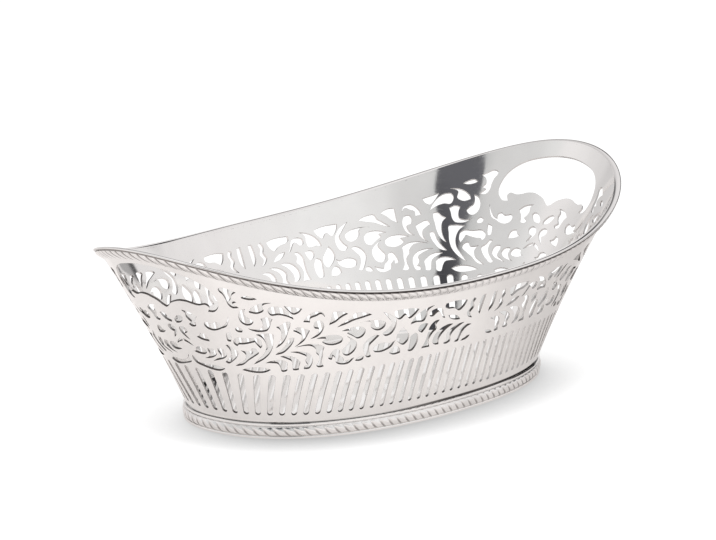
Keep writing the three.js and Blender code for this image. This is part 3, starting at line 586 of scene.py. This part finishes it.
def foot_line(angle, inset, height):
    plan = oval(inset_half(BASE_HALF, inset), BASE_SQUARENESS, angle)
    return np.concatenate([plan, np.broadcast_to(height, plan.shape[:-1])[..., None]], -1)


def round_bead(angles):
    half = (WALL_THICKNESS + BEAD_OUT) / 2
    turn = np.linspace(math.pi, 0, BEAD_ROWS)
    out = half * np.sign(np.cos(turn)) * np.abs(np.cos(turn)) ** 0.8 + BEAD_OUT - half
    down = BEAD_HEIGHT * (1 - np.abs(np.sin(turn)) ** 0.8)
    rows = [rim_line(angles, o, d) for o, d in zip(out, down)]
    low = BEAD_HEIGHT * BEAD_LIP
    rows += [rim_line(angles, BEAD_OUT, low), rim_line(angles, -WALL_THICKNESS, low)]
    return np.stack(rows[::-1], 1)


def under_bead(angles):
    """How much painted shade darkens the groove between bead and roping, most along the sides."""
    amount = GROOVE_ENDS + (1 - GROOVE_ENDS) * np.abs(np.sin(angles))
    rows = np.zeros((len(angles), BEAD_ROWS + 2))
    rows[:, 1:4] = 2 * amount[:, None]
    return rows


def strand(fraction, across, strokes, lean):
    """Height of a twisted wire, 0 in its grooves and 1 on its strands."""
    shift = np.arccos(np.clip(1 - 2 * across, -1, 1)) / math.pi - 0.5
    return np.abs(np.sin(math.pi * (strokes * fraction + lean * shift)))


def round_swell(across):
    return np.sqrt(np.clip(1 - (2 * across - 1) ** 2, 0, 1)) ** 0.8


def lip_swell(across):
    """Flares out from the wall to its widest near the rim, then turns in a little."""
    below = np.clip(across / RIM_ROPE_WIDEST, 0, 1)
    above = np.clip((across - RIM_ROPE_WIDEST) / (1 - RIM_ROPE_WIDEST), 0, 1)
    return np.sin(math.pi / 2 * below**1.2) ** 0.9 * (1 - 0.3 * above**2)


def roped_band(name, line, swell, strokes, lean, depth, angles, material, painted_shade):
    """Ring of roped wire. line(angle, out, across) places a point."""
    fraction = (np.arange(len(angles)) / len(angles))[:, None]
    across = (1 - np.cos(np.linspace(0, math.pi, ROPE_ROWS)))[None, :] / 2
    twist = strand(fraction, across, strokes, lean)

    def section(angles):
        out = depth * swell(across) * (0.55 + 0.45 * twist**0.7)
        spot = np.broadcast_arrays(angles[:, None], across)
        front = line(spot[0], out, spot[1])
        back = np.stack([line(angles, 0.0, 1.0), line(angles, 0.0, 0.0)], 1)
        return np.concatenate([front, back], 1)

    # Painted shade deep in the creases of the twist
    def groove(angles):
        front = painted_shade(angles[:, None], across, 1 - twist)
        return np.concatenate([front, np.ones((len(angles), 2))], 1)

    return ring_piece(name, section, angles, [material], 60, groove)


# Painted shade in the creases of the rim's roping, a little weaker along the sides, and a painted shadow
# line in the joint under the bead, strongest along the sides
def rim_rope_painted_shade(angle, across, twist):
    side = np.abs(np.sin(angle))
    joint = GROOVE_ENDS + (1 - GROOVE_ENDS) * side
    return np.maximum(twist * (1 - 0.35 * side**2), 2 * joint * np.clip((across - 0.84) / 0.1, 0, 1))


# Painted shade in the creases of the foot's roping, strongest on its lower half
def foot_rope_painted_shade(angle, across, twist):
    return twist * np.clip(1.3 - 0.9 * across, 0, 1)


def rim_rope_line(angle, out, across):
    return rim_line(angle, out, RIM_ROPE_TOP + RIM_ROPE_HEIGHT * (1 - across))


def foot_rope_line(angle, out, across):
    height = FOOT_ROPE_BOTTOM + FOOT_ROPE_HEIGHT * across
    return foot_line(angle, -FOOT_ROPE_EDGE - np.asarray(out), height)


def collar_section(angles):
    spots = (
        (COLLAR_LEDGE, COLLAR_TOP), (COLLAR_LEDGE, COLLAR_BOTTOM), (-0.6, COLLAR_BOTTOM),
        (-0.82, COLLAR_BOTTOM + 0.18), (-COLLAR_PROUD, COLLAR_BOTTOM + 0.5),
        (-0.82, COLLAR_TOP - 0.22), (-0.55, COLLAR_TOP), (-0.1, COLLAR_TOP),
    )
    return np.stack([foot_line(angles, *spot) for spot in spots], 1)


def foot_ring_section(angles):
    top = FOOT_RING_HEIGHT
    spots = (
        (FOOT_RING_INNER, top), (FOOT_RING_INNER, 0.1), (FOOT_RING_INNER - 0.1, 0), (-0.7, 0),
        (-0.86, 0.1), (-COLLAR_PROUD, 0.35), (-COLLAR_PROUD, top - 0.35), (-0.8, top - 0.1), (-0.6, top),
    )
    return np.stack([foot_line(angles, *spot) for spot in spots], 1)


def floor_section(angles):
    inset = WALL_THICKNESS + 0.05
    low, high = WALL_BOTTOM, WALL_BOTTOM + FLOOR_THICKNESS
    spots = (
        (inset, low), (inset, high + FILLET), (inset + 0.15, high + 0.5 * FILLET),
        (inset + 0.5 * FILLET, high + 0.15), (inset + FILLET, high), (inset + FILLET + 0.2, high),
    )
    return [foot_line(angles, *spot) for spot in spots]


def floor_sheet(name, materials):
    """Oval plate with a fillet of solder at its edge, its top a fan of rings so that it shades evenly."""
    angles = np.linspace(0, 2 * math.pi, 240, endpoint=False)
    rows = floor_section(angles)
    last_row = rows[-1]
    for part in (0.75, 0.5, 0.25):
        rows.append(np.concatenate([last_row[:, :2] * part, last_row[:, 2:]], 1))
    middles = np.array([[0, 0, WALL_BOTTOM + FLOOR_THICKNESS], [0, 0, WALL_BOTTOM]])
    points = np.concatenate(rows + [middles])
    steps = len(angles)
    faces = []
    for row in range(len(rows) - 1):
        for here in range(steps):
            after = (here + 1) % steps
            a, b = row * steps, (row + 1) * steps
            faces.append((a + here, a + after, b + after, b + here))
    last = (len(rows) - 1) * steps
    top, low = len(points) - 2, len(points) - 1
    for here in range(steps):
        after = (here + 1) % steps
        faces.append((last + here, last + after, top))
        faces.append((after, here, low))
    piece = mesh_object(name, points, faces, None, None, materials)
    piece.data.set_sharp_from_angle(angle=math.radians(60))
    return piece


class Shader:
    """Small helper that adds nodes to a material or world and joins them."""

    def __init__(self, tree):
        self.tree = tree
        tree.nodes.clear()

    def add(self, kind, inputs=(), **settings):
        node = self.tree.nodes.new(kind)
        for key, value in settings.items():
            setattr(node, key, value)
        for key, value in dict(inputs).items():
            if isinstance(value, bpy.types.NodeSocket):
                self.tree.links.new(value, node.inputs[key])
            else:
                node.inputs[key].default_value = value
        return node

    def math(self, operation, *values):
        return self.add("ShaderNodeMath", enumerate(values), operation=operation).outputs[0]

    def rise(self, value, low, high, bottom=0.0, top=1.0, kind="SMOOTHSTEP"):
        inputs = {"Value": value, "From Min": low, "From Max": high, "To Min": bottom, "To Max": top}
        return self.add("ShaderNodeMapRange", inputs, interpolation_type=kind).outputs[0]

    def ramp(self, value, stops, kind="EASE"):
        node = self.add("ShaderNodeValToRGB", {0: value})
        node.color_ramp.interpolation = kind
        marks = node.color_ramp.elements
        marks[0].position, marks[0].color = stops[0]
        marks[1].position, marks[1].color = stops[-1]
        for position, colour in stops[1:-1]:
            marks.new(position).color = colour
        return node.outputs[0]

    def ramp_of(self, value, *stops):
        """Value read off a line through the stops, level beyond both ends."""
        total = stops[0][1]
        for (start, low), (end, high) in zip(stops, stops[1:]):
            total = self.math("ADD", total, self.rise(value, start, end, 0.0, high - low, "LINEAR"))
        return total

    def window(self, value, low, high, soft):
        up = self.rise(value, low - soft, low + soft)
        down = self.rise(value, high - soft, high + soft, 1.0, 0.0)
        return self.math("MULTIPLY", up, down)

    def mix(self, factor, first, second):
        node = self.add("ShaderNodeMix", data_type="RGBA")
        for socket, value in ((0, factor), (6, first), (7, second)):
            if isinstance(value, bpy.types.NodeSocket):
                self.tree.links.new(value, node.inputs[socket])
            else:
                node.inputs[socket].default_value = value
        return node.outputs[2]


def grey(level, warm=1.0):
    return (level * warm, level, level, 1)


def silver(name, colour, dull, roughness, scratch, bump, groove=None, ledge_shade=None, seam=None):
    """Polished silver: hairline scratches, a faint haze from cleaning, slightly uneven metal.
    groove is the colour of painted shade deep in the twist of a wire and in the joint under the bead, the
    ledge colour that of painted shade on cut faces of the piercing, and seam that of the joint at the foot
    of the wall."""
    material = bpy.data.materials.new(name)
    material.use_nodes = True
    s = Shader(material.node_tree)
    where = s.add("ShaderNodeTexCoord").outputs["Object"]
    haze = s.add("ShaderNodeTexNoise", {"Vector": where, "Scale": 38, "Detail": 5, "Roughness": 0.6})
    fine = s.add("ShaderNodeTexNoise", {"Vector": where, "Scale": 900, "Detail": 3, "Roughness": 0.7})
    swell = s.add("ShaderNodeTexNoise", {"Vector": where, "Scale": 16, "Detail": 2, "Roughness": 0.5})
    stretch = s.add("ShaderNodeMapping", {
        "Vector": where, "Scale": (260, 260, 2600), "Rotation": (0.3, 0.2, 0.5)})
    hair = s.add("ShaderNodeTexNoise", {"Vector": stretch.outputs[0], "Scale": 1, "Detail": 2})
    stain = s.rise(haze.outputs["Fac"], 0.35, 0.75)
    body = s.mix(stain, colour, dull)
    # Painted shade in the creases of the wires and, darkest, in the joint under the bead
    if groove:
        deep = s.add("ShaderNodeAttribute", attribute_name="groove").outputs["Fac"]
        body = s.mix(s.rise(deep, 0.35, 0.95), body, groove)
        body = s.mix(s.rise(deep, 1.1, 1.9), body, DEEPEST_PAINTED_SHADE)
    if seam:
        along, _, low = s.add("ShaderNodeSeparateXYZ", {0: where}).outputs
        low = s.math("SUBTRACT", low, s.rise(along, -0.05, -0.01, 0.0, 0.0004))
        line = s.rise(low, 0.0066, 0.0071, 1.0, 0.0)
        joint = s.math("MULTIPLY", line, s.rise(along, -0.06, 0.0, 0.6, 1.0))
        body = s.mix(joint, body, seam)
    # Painted shade on cut faces: darker where they look up, more on the front higher than the slots and at
    # the left end, half as strong to the right
    if ledge_shade:
        up = s.add("ShaderNodeSeparateXYZ", {0: s.add("ShaderNodeNewGeometry").outputs["Normal"]}).outputs[2]
        x, y, z = s.add("ShaderNodeSeparateXYZ", {0: where}).outputs
        above = s.math("MAXIMUM", s.rise(z, 0.029, 0.033), s.rise(x, -0.07, -0.04, 1.0, 0.0))
        front = s.math("MULTIPLY", s.rise(y, -0.01, 0.01, 0.3, 0.0), above)
        painted_shade = s.rise(s.math("ADD", up, front), 0.0, 0.9)
        body = s.mix(s.math("MULTIPLY", painted_shade, s.rise(x, 0.0, 0.025, 1.0, 0.5)), body, ledge_shade)
    rough = s.math("ADD", s.rise(haze.outputs["Fac"], 0.3, 0.8, roughness * 0.8, roughness * 1.35),
                   s.rise(hair.outputs["Fac"], 0.5, 0.8, 0.0, scratch))
    height = s.math("ADD", swell.outputs["Fac"], s.math("MULTIPLY", fine.outputs["Fac"], 0.012))
    dent = s.add("ShaderNodeBump", {"Height": height, "Strength": 1.0, "Distance": bump})
    metal = s.add("ShaderNodeBsdfPrincipled", {
        "Base Color": body, "Metallic": 1.0, "Roughness": rough, "Normal": dent.outputs[0]})
    s.add("ShaderNodeOutputMaterial", {"Surface": metal.outputs[0]})
    return material


def build_floor():
    """White table. The camera sees it plain, but for a painted contact shadow close to the foot. The silver
    mirrors it
    darker than that, with painted shade: brighter on the left than on the right, and darker close to the
    foot."""
    bpy.ops.mesh.primitive_grid_add(x_subdivisions=8, y_subdivisions=8, size=12, location=(0, 0, 0))
    floor = bpy.context.object
    floor.name = "studio_floor"
    material = bpy.data.materials.new("studio_floor")
    material.use_nodes = True
    s = Shader(material.node_tree)
    direct = s.add("ShaderNodeLightPath").outputs["Is Camera Ray"]
    where = s.add("ShaderNodeTexCoord").outputs["Object"]
    x, y = s.add("ShaderNodeSeparateXYZ", {0: where}).outputs[:2]
    towards = s.add("ShaderNodeCombineXYZ", enumerate(FLOOR_LEAN)).outputs[0]
    open_sky = s.add("ShaderNodeAmbientOcclusion", {"Distance": FLOOR_REACH, "Normal": towards},
                     samples=16).outputs["AO"]
    start, end = FLOOR_SPAN
    stops = [((at - start) / (end - start), grey(level)) for at, level in MIRRORED_FLOOR_SHADE]
    along = s.ramp(s.rise(x, start, end, kind="LINEAR"), stops, "LINEAR")
    # Painted shade behind the basket on the left, and painted light behind it on the right
    back_left = s.math("MULTIPLY", s.rise(y, -0.045, 0.03), s.rise(x, -0.08, -0.02, 1.0, 0.0))
    level = s.math("MULTIPLY", along, s.rise(back_left, 0.0, 1.0, 0.56, 0.49, "LINEAR"))
    back_right = s.math("MULTIPLY", s.rise(y, -0.03, 0.03), s.rise(x, 0.08, 0.13))
    level = s.math("MULTIPLY", level, s.rise(back_right, 0.0, 1.0, 1.0, 1.18, "LINEAR"))
    # Painted shade close to the foot, in what the silver mirrors
    level = s.math("MULTIPLY", level, s.rise(open_sky, 0.35, 0.9, 0.9, 1.0))
    seen = s.mix(level, (0, 0, 0, 1), (1, 0.964, 0.948, 1))
    # Painted contact shadow close to the foot, in what the camera sees, over the real shadow
    near = s.rise(open_sky, 0.25, 0.98, 0.5, 1.0, "LINEAR")
    cloth = s.mix(direct, seen, s.mix(near, grey(0), grey(0.3)))
    diffuse = s.add("ShaderNodeBsdfDiffuse", {"Color": cloth})
    lit = s.mix(direct, seen, s.mix(near, grey(0), grey(FLOOR_GLOW)))
    glow = s.add("ShaderNodeEmission", {"Color": lit, "Strength": 1.0})
    both = s.add("ShaderNodeAddShader")
    s.tree.links.new(diffuse.outputs[0], both.inputs[0])
    s.tree.links.new(glow.outputs[0], both.inputs[1])
    s.add("ShaderNodeOutputMaterial", {"Surface": both.outputs[0]})
    floor.data.materials.append(material)


def build_world():
    """The camera sees plain white. The silver mirrors a pale tent instead, with a dark gap in front
    and a dark room low down behind the basket."""
    world = bpy.data.worlds.new("studio")
    bpy.context.scene.world = world
    world.use_nodes = True
    s = Shader(world.node_tree)
    rays = s.add("ShaderNodeLightPath").outputs
    where = s.add("ShaderNodeTexCoord").outputs["Generated"]
    axes = s.add("ShaderNodeSeparateXYZ", {0: where}).outputs
    degrees = lambda value: s.math("MULTIPLY", value, 180 / math.pi)
    bearing = degrees(s.math("ARCTAN2", axes[1], axes[0]))
    height = degrees(s.math("ARCSINE", axes[2]))
    both = lambda first, second: s.math("MULTIPLY", first, second)
    stops = [((at + 180) / 360, grey(level, warm)) for at, level, warm in MIRRORED_TENT]
    ring = s.ramp(s.rise(bearing, -180, 180, kind="LINEAR"), stops)
    behind_low = both(s.window(bearing, 34, 45, 2), s.window(height, 9, 17, 1.5))
    light = s.mix(behind_low, ring, grey(0.92, 1.01))
    light = s.mix(s.rise(height, 58, 68), light, grey(0.97, 1.01))
    off_right = s.math("SUBTRACT", bearing, s.ramp_of(height, *GAP_RIGHT))
    off_left = s.math("SUBTRACT", bearing, s.ramp_of(height, *GAP_LEFT))
    between = both(s.rise(off_right, -1, 1), s.rise(off_left, -1, 1, 1.0, 0.0))
    gap = both(between, s.window(height, 22, 57, 2))
    depth = s.mix(s.rise(height, 38, 48), GAP_LOW, GAP_HIGH)
    light = s.mix(gap, light, depth)
    sill = s.math("SUBTRACT", height, s.rise(bearing, 5, 35, 12, 20))
    above_sill = both(s.rise(sill, -2, 3), s.rise(height, 27, 33, 1.0, 0.0))
    room = both(s.window(bearing, -14, 44, 4), above_sill)
    beside = both(s.window(bearing, 42, 62, 5), s.window(height, 17, 34, 3))
    far_corner = both(s.window(bearing, 3.5, 18, 1), s.window(height, -6, 6.2, 0.5))
    far_corner = both(far_corner, s.rise(bearing, 6, 9, 0.95, 0.5))
    dark = s.math("MAXIMUM", s.math("MAXIMUM", room, far_corner), s.math("MULTIPLY", beside, 0.75))
    light = s.mix(dark, light, ROOM_DARK)
    seen = s.mix(rays["Is Camera Ray"], light, grey(1.0))
    sky = s.add("ShaderNodeBackground", {"Color": seen, "Strength": 1.0})
    s.add("ShaderNodeOutputWorld", {"Surface": sky.outputs[0]})


def build_lamp(name, place, size, power):
    data = bpy.data.lights.new(name, "AREA")
    data.shape = "DISK"
    data.size = size
    data.energy = power
    lamp = bpy.data.objects.new(name, data)
    lamp.location = place
    lamp.rotation_euler = (Vector((0, 0, 0.03)) - Vector(place)).to_track_quat("-Z", "Y").to_euler()
    lamp.visible_glossy = False
    bpy.context.scene.collection.objects.link(lamp)


def build_camera():
    """Long lens from the front left, slightly above the rim."""
    data = bpy.data.cameras.new("camera")
    data.sensor_width = CAMERA_SENSOR
    data.lens = CAMERA_LENS
    data.clip_end = 100
    camera = bpy.data.objects.new("camera", data)
    azimuth, height = math.radians(CAMERA_AZIMUTH), math.radians(CAMERA_ELEVATION)
    level = math.cos(height)
    back = Vector((math.sin(azimuth) * level, -math.cos(azimuth) * level, math.sin(height)))
    right = Vector((math.cos(azimuth), math.sin(azimuth), 0))
    up = back.cross(right)
    place = Vector(CAMERA_TARGET) + back * CAMERA_DISTANCE
    turn = Matrix((right, up, back)).transposed()
    camera.matrix_world = Matrix.Translation(place) @ turn.to_4x4()
    bpy.context.scene.collection.objects.link(camera)
    bpy.context.scene.camera = camera


build_camera()
build_floor()
build_world()

wall_silver = silver("polished_silver", (0.95, 0.938, 0.925, 1), (0.9, 0.886, 0.875, 1), 0.075, 0.05, 0.0003,
                     seam=(0.07, 0.062, 0.06, 1))
floor_silver = silver("floor_silver", (0.94, 0.926, 0.914, 1), (0.87, 0.856, 0.845, 1), 0.04, 0.04, 0.0002)
rim_silver = silver("rim_silver", (0.96, 0.945, 0.935, 1), (0.92, 0.905, 0.895, 1), 0.06, 0.03, 0.0001)
# The groove colours are painted shade in the creases of the wires and in the joint under the bead
bead_silver = silver("bead_silver", (0.96, 0.945, 0.935, 1), (0.92, 0.905, 0.895, 1), 0.06, 0.03, 0.0001,
                     groove=(0.3, 0.28, 0.27, 1))
rope_silver = silver("rope_silver", (0.95, 0.935, 0.925, 1), (0.84, 0.825, 0.815, 1), 0.11, 0.05, 0.0001,
                     groove=(0.24, 0.222, 0.215, 1))
foot_silver = silver("foot_silver", (0.95, 0.935, 0.925, 1), (0.84, 0.825, 0.815, 1), 0.16, 0.05, 0.0001,
                     groove=(0.33, 0.31, 0.3, 1))
# Cut faces: rougher metal, a little darker than the wall as painted shade, with more painted shade on faces
# that look up
cut_silver = silver("cut_edge", (0.85, 0.83, 0.82, 1), (0.72, 0.7, 0.69, 1), 0.22, 0.1, 0.0001,
                    ledge_shade=(0.09, 0.08, 0.076, 1))

rim_angles = even_angles(lambda angle: rim_line(angle, 0, 0), RIM_STROKES * STEPS_PER_STROKE)
foot_angles = even_angles(lambda angle: foot_line(angle, 0, 0), FOOT_STROKES * STEPS_PER_STROKE)
sparse_rim, sparse_foot = rim_angles[::5], foot_angles[::4]

pieces = {
    "wall_right": half_wall("pierced_wall_right", 0.0, [wall_silver, cut_silver]),
    "wall_left": half_wall("pierced_wall_left", math.pi, [wall_silver, cut_silver]),
    "floor_plate": floor_sheet("floor_sheet", [floor_silver]),
    "rim_bead": ring_piece("rim_wire", round_bead, sparse_rim, [bead_silver], 60, under_bead),
    "rim_rope": roped_band(
        "rim_roping", rim_rope_line, lip_swell, RIM_STROKES, RIM_TWIST_LEAN, BEAD_OUT, rim_angles,
        rope_silver, rim_rope_painted_shade),
    "foot_collar": ring_piece("collar_band", collar_section, sparse_foot, [rim_silver]),
    "foot_rope": roped_band(
        "foot_roping", foot_rope_line, round_swell, FOOT_STROKES, FOOT_TWIST_LEAN,
        FOOT_ROPE_BULGE - FOOT_ROPE_EDGE, foot_angles, foot_silver, foot_rope_painted_shade),
    "foot_ring": ring_piece("foot_flange", foot_ring_section, sparse_foot, [rim_silver]),
}
for node, piece in pieces.items():
    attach(piece, "root")
    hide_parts(node)

build_lamp("soft_box", (-0.3, -0.1, 2.0), 1.1, 9)

view = bpy.context.scene.view_settings
view.view_transform = "Standard"
